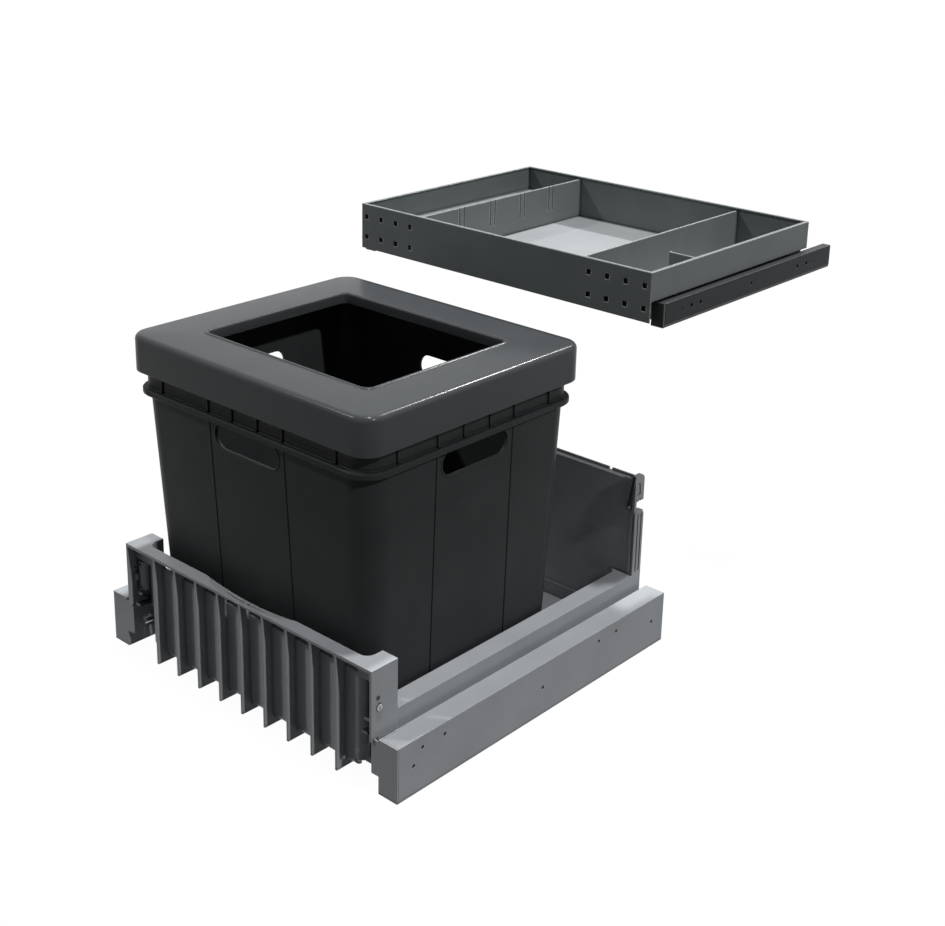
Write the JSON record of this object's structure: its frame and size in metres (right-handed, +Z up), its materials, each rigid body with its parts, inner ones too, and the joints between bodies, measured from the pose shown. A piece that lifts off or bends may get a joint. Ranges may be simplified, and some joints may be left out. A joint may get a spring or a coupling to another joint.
{
  "type": "pull-out waste bin",
  "caption": "Pull-out waste bin for a base cabinet: bin with open lid on a sliding frame with front bracket and fins, and a shallow divided drawer above.",
  "frame": {"origin": "under the middle of the whole object, at the height of the slides' and fins' lower edges", "axes": "+X to the right seen from the front, +Y into the cabinet, +Z up"},
  "size_m": [0.518, 0.8654, 0.5155],
  "materials": {
    "case_coat": "satin powder coat",
    "frame_coat": "satin powder coat",
    "panel_coat": "flat powder coat",
    "bracket_plastic": "fine grained",
    "bin_plastic": "fine grained",
    "lid_plastic": "fine grained",
    "drawer_coat": "satin powder coat",
    "drawer_mat": "fine grained",
    "rolled_steel": "zinc plated",
    "cage_steel": "plain",
    "ball_steel": "polished",
    "black_plastic": "fine grained",
    "runner_coat": "satin powder coat"
  },
  "bodies": {
    "cabinet_side": {"rail_case_left": "case_coat", "rail_case_right": "case_coat", "cabinet_rail_left": "rolled_steel", "cabinet_rail_right": "rolled_steel", "runner_channel_left": "runner_coat", "runner_channel_right": "runner_coat", "runner_base_left": "black_plastic", "runner_base_right": "black_plastic"},
    "pull_out": {"frame_rail_left": "rolled_steel", "frame_rail_right": "rolled_steel", "rail_front_cap_left": "case_coat", "rail_front_cap_right": "case_coat", "frame_rivets": "rolled_steel", "front_bracket": "bracket_plastic", "side_frame_left": "frame_coat", "side_frame_right": "frame_coat", "tray": "frame_coat", "back_panel": "panel_coat", "rear_post_left": "frame_coat", "rear_post_right": "frame_coat", "rear_hook_left": "frame_coat", "rear_hook_right": "frame_coat", "panel_clip_left": "frame_coat", "panel_clip_right": "frame_coat", "latch_pins": "rolled_steel", "lock_screws": "black_plastic", "frame_pegs": "rolled_steel"},
    "outer_cages": {"outer_cage_left": "cage_steel", "outer_cage_right": "cage_steel", "outer_balls": "ball_steel"},
    "middle_rails": {"middle_rail_left": "rolled_steel", "middle_rail_right": "rolled_steel"},
    "inner_cages": {"inner_cage_left": "cage_steel", "inner_cage_right": "cage_steel", "inner_balls": "ball_steel"},
    "latch_left": {"latch_lever_left": "black_plastic"},
    "latch_right": {"latch_lever_right": "black_plastic"},
    "carrier_left": {"door_carrier_left": "bracket_plastic", "height_screw_left": "rolled_steel"},
    "carrier_right": {"door_carrier_right": "bracket_plastic", "height_screw_right": "rolled_steel"},
    "lock_left": {"lock_lever_left": "black_plastic"},
    "lock_right": {"lock_lever_right": "black_plastic"},
    "bin": {"bin": "bin_plastic"},
    "lid": {"lid_frame": "lid_plastic"},
    "drawer": {"drawer_shell": "drawer_coat", "drawer_floor": "drawer_mat", "divider_left": "drawer_coat", "divider_right": "drawer_coat", "cross_divider": "drawer_coat", "drawer_rail_left": "rolled_steel", "drawer_rail_right": "rolled_steel", "drawer_rivets": "rolled_steel", "runner_caps": "black_plastic"},
    "runner_outer_cage": {"runner_outer_cages": "cage_steel", "runner_outer_balls": "ball_steel"},
    "runner_middle": {"runner_middle_left": "rolled_steel", "runner_middle_right": "rolled_steel"},
    "runner_inner_cage": {"runner_inner_cages": "cage_steel", "runner_inner_balls": "ball_steel"}
  },
  "joints": [
    {"name": "frame_slide", "type": "slide", "parent": "cabinet_side", "child": "pull_out", "axis": [0, -1, 0], "range_m": [0, 0.48]},
    {"name": "outer_cage_slide", "type": "slide", "parent": "cabinet_side", "child": "outer_cages", "axis": [0, -1, 0], "range_m": [0, 0.121]},
    {"name": "middle_rail_slide", "type": "slide", "parent": "cabinet_side", "child": "middle_rails", "axis": [0, -1, 0], "range_m": [0, 0.241]},
    {"name": "inner_cage_slide", "type": "slide", "parent": "cabinet_side", "child": "inner_cages", "axis": [0, -1, 0], "range_m": [0, 0.361]},
    {"name": "bin_lift", "type": "slide", "parent": "pull_out", "child": "bin", "axis": [0, 0, 1], "range_m": [0, 0.3]},
    {"name": "lid_lift", "type": "slide", "parent": "bin", "child": "lid", "axis": [0, 0, 1], "range_m": [0, 0.1]},
    {"name": "drawer_slide", "type": "slide", "parent": "cabinet_side", "child": "drawer", "axis": [0, -1, 0], "range_m": [0, 0.38]},
    {"name": "runner_outer_cage_slide", "type": "slide", "parent": "cabinet_side", "child": "runner_outer_cage", "axis": [0, -1, 0], "range_m": [0, 0.096]},
    {"name": "runner_middle_slide", "type": "slide", "parent": "cabinet_side", "child": "runner_middle", "axis": [0, -1, 0], "range_m": [0, 0.191]},
    {"name": "runner_inner_cage_slide", "type": "slide", "parent": "cabinet_side", "child": "runner_inner_cage", "axis": [0, -1, 0], "range_m": [0, 0.286]},
    {"name": "latch_left_swing", "type": "hinge", "parent": "pull_out", "child": "latch_left", "pos_m": [-0.2138, 0.04345, 0.186], "axis": [0, 1, 0], "range_deg": [0, 25]},
    {"name": "latch_right_swing", "type": "hinge", "parent": "pull_out", "child": "latch_right", "pos_m": [0.2138, 0.04345, 0.186], "axis": [0, 1, 0], "range_deg": [-25, 0]},
    {"name": "carrier_left_lift", "type": "slide", "parent": "pull_out", "child": "carrier_left", "axis": [0, 0, 1], "range_m": [-0.0015, 0.0015]},
    {"name": "lock_left_swing", "type": "hinge", "parent": "pull_out", "child": "lock_left", "pos_m": [-0.208, -0.40395, 0.066], "axis": [1, 0, 0], "range_deg": [0, 25]},
    {"name": "carrier_right_lift", "type": "slide", "parent": "pull_out", "child": "carrier_right", "axis": [0, 0, 1], "range_m": [-0.0015, 0.0015]},
    {"name": "lock_right_swing", "type": "hinge", "parent": "pull_out", "child": "lock_right", "pos_m": [0.208, -0.40395, 0.066], "axis": [1, 0, 0], "range_deg": [0, 25]}
  ],
  "couplings": [
    {"joint": "outer_cage_slide", "follows": "frame_slide", "ratio": 0.25},
    {"joint": "middle_rail_slide", "follows": "frame_slide", "ratio": 0.5},
    {"joint": "inner_cage_slide", "follows": "frame_slide", "ratio": 0.75},
    {"joint": "runner_outer_cage_slide", "follows": "drawer_slide", "ratio": 0.25},
    {"joint": "runner_middle_slide", "follows": "drawer_slide", "ratio": 0.5},
    {"joint": "runner_inner_cage_slide", "follows": "drawer_slide", "ratio": 0.75}
  ]
}
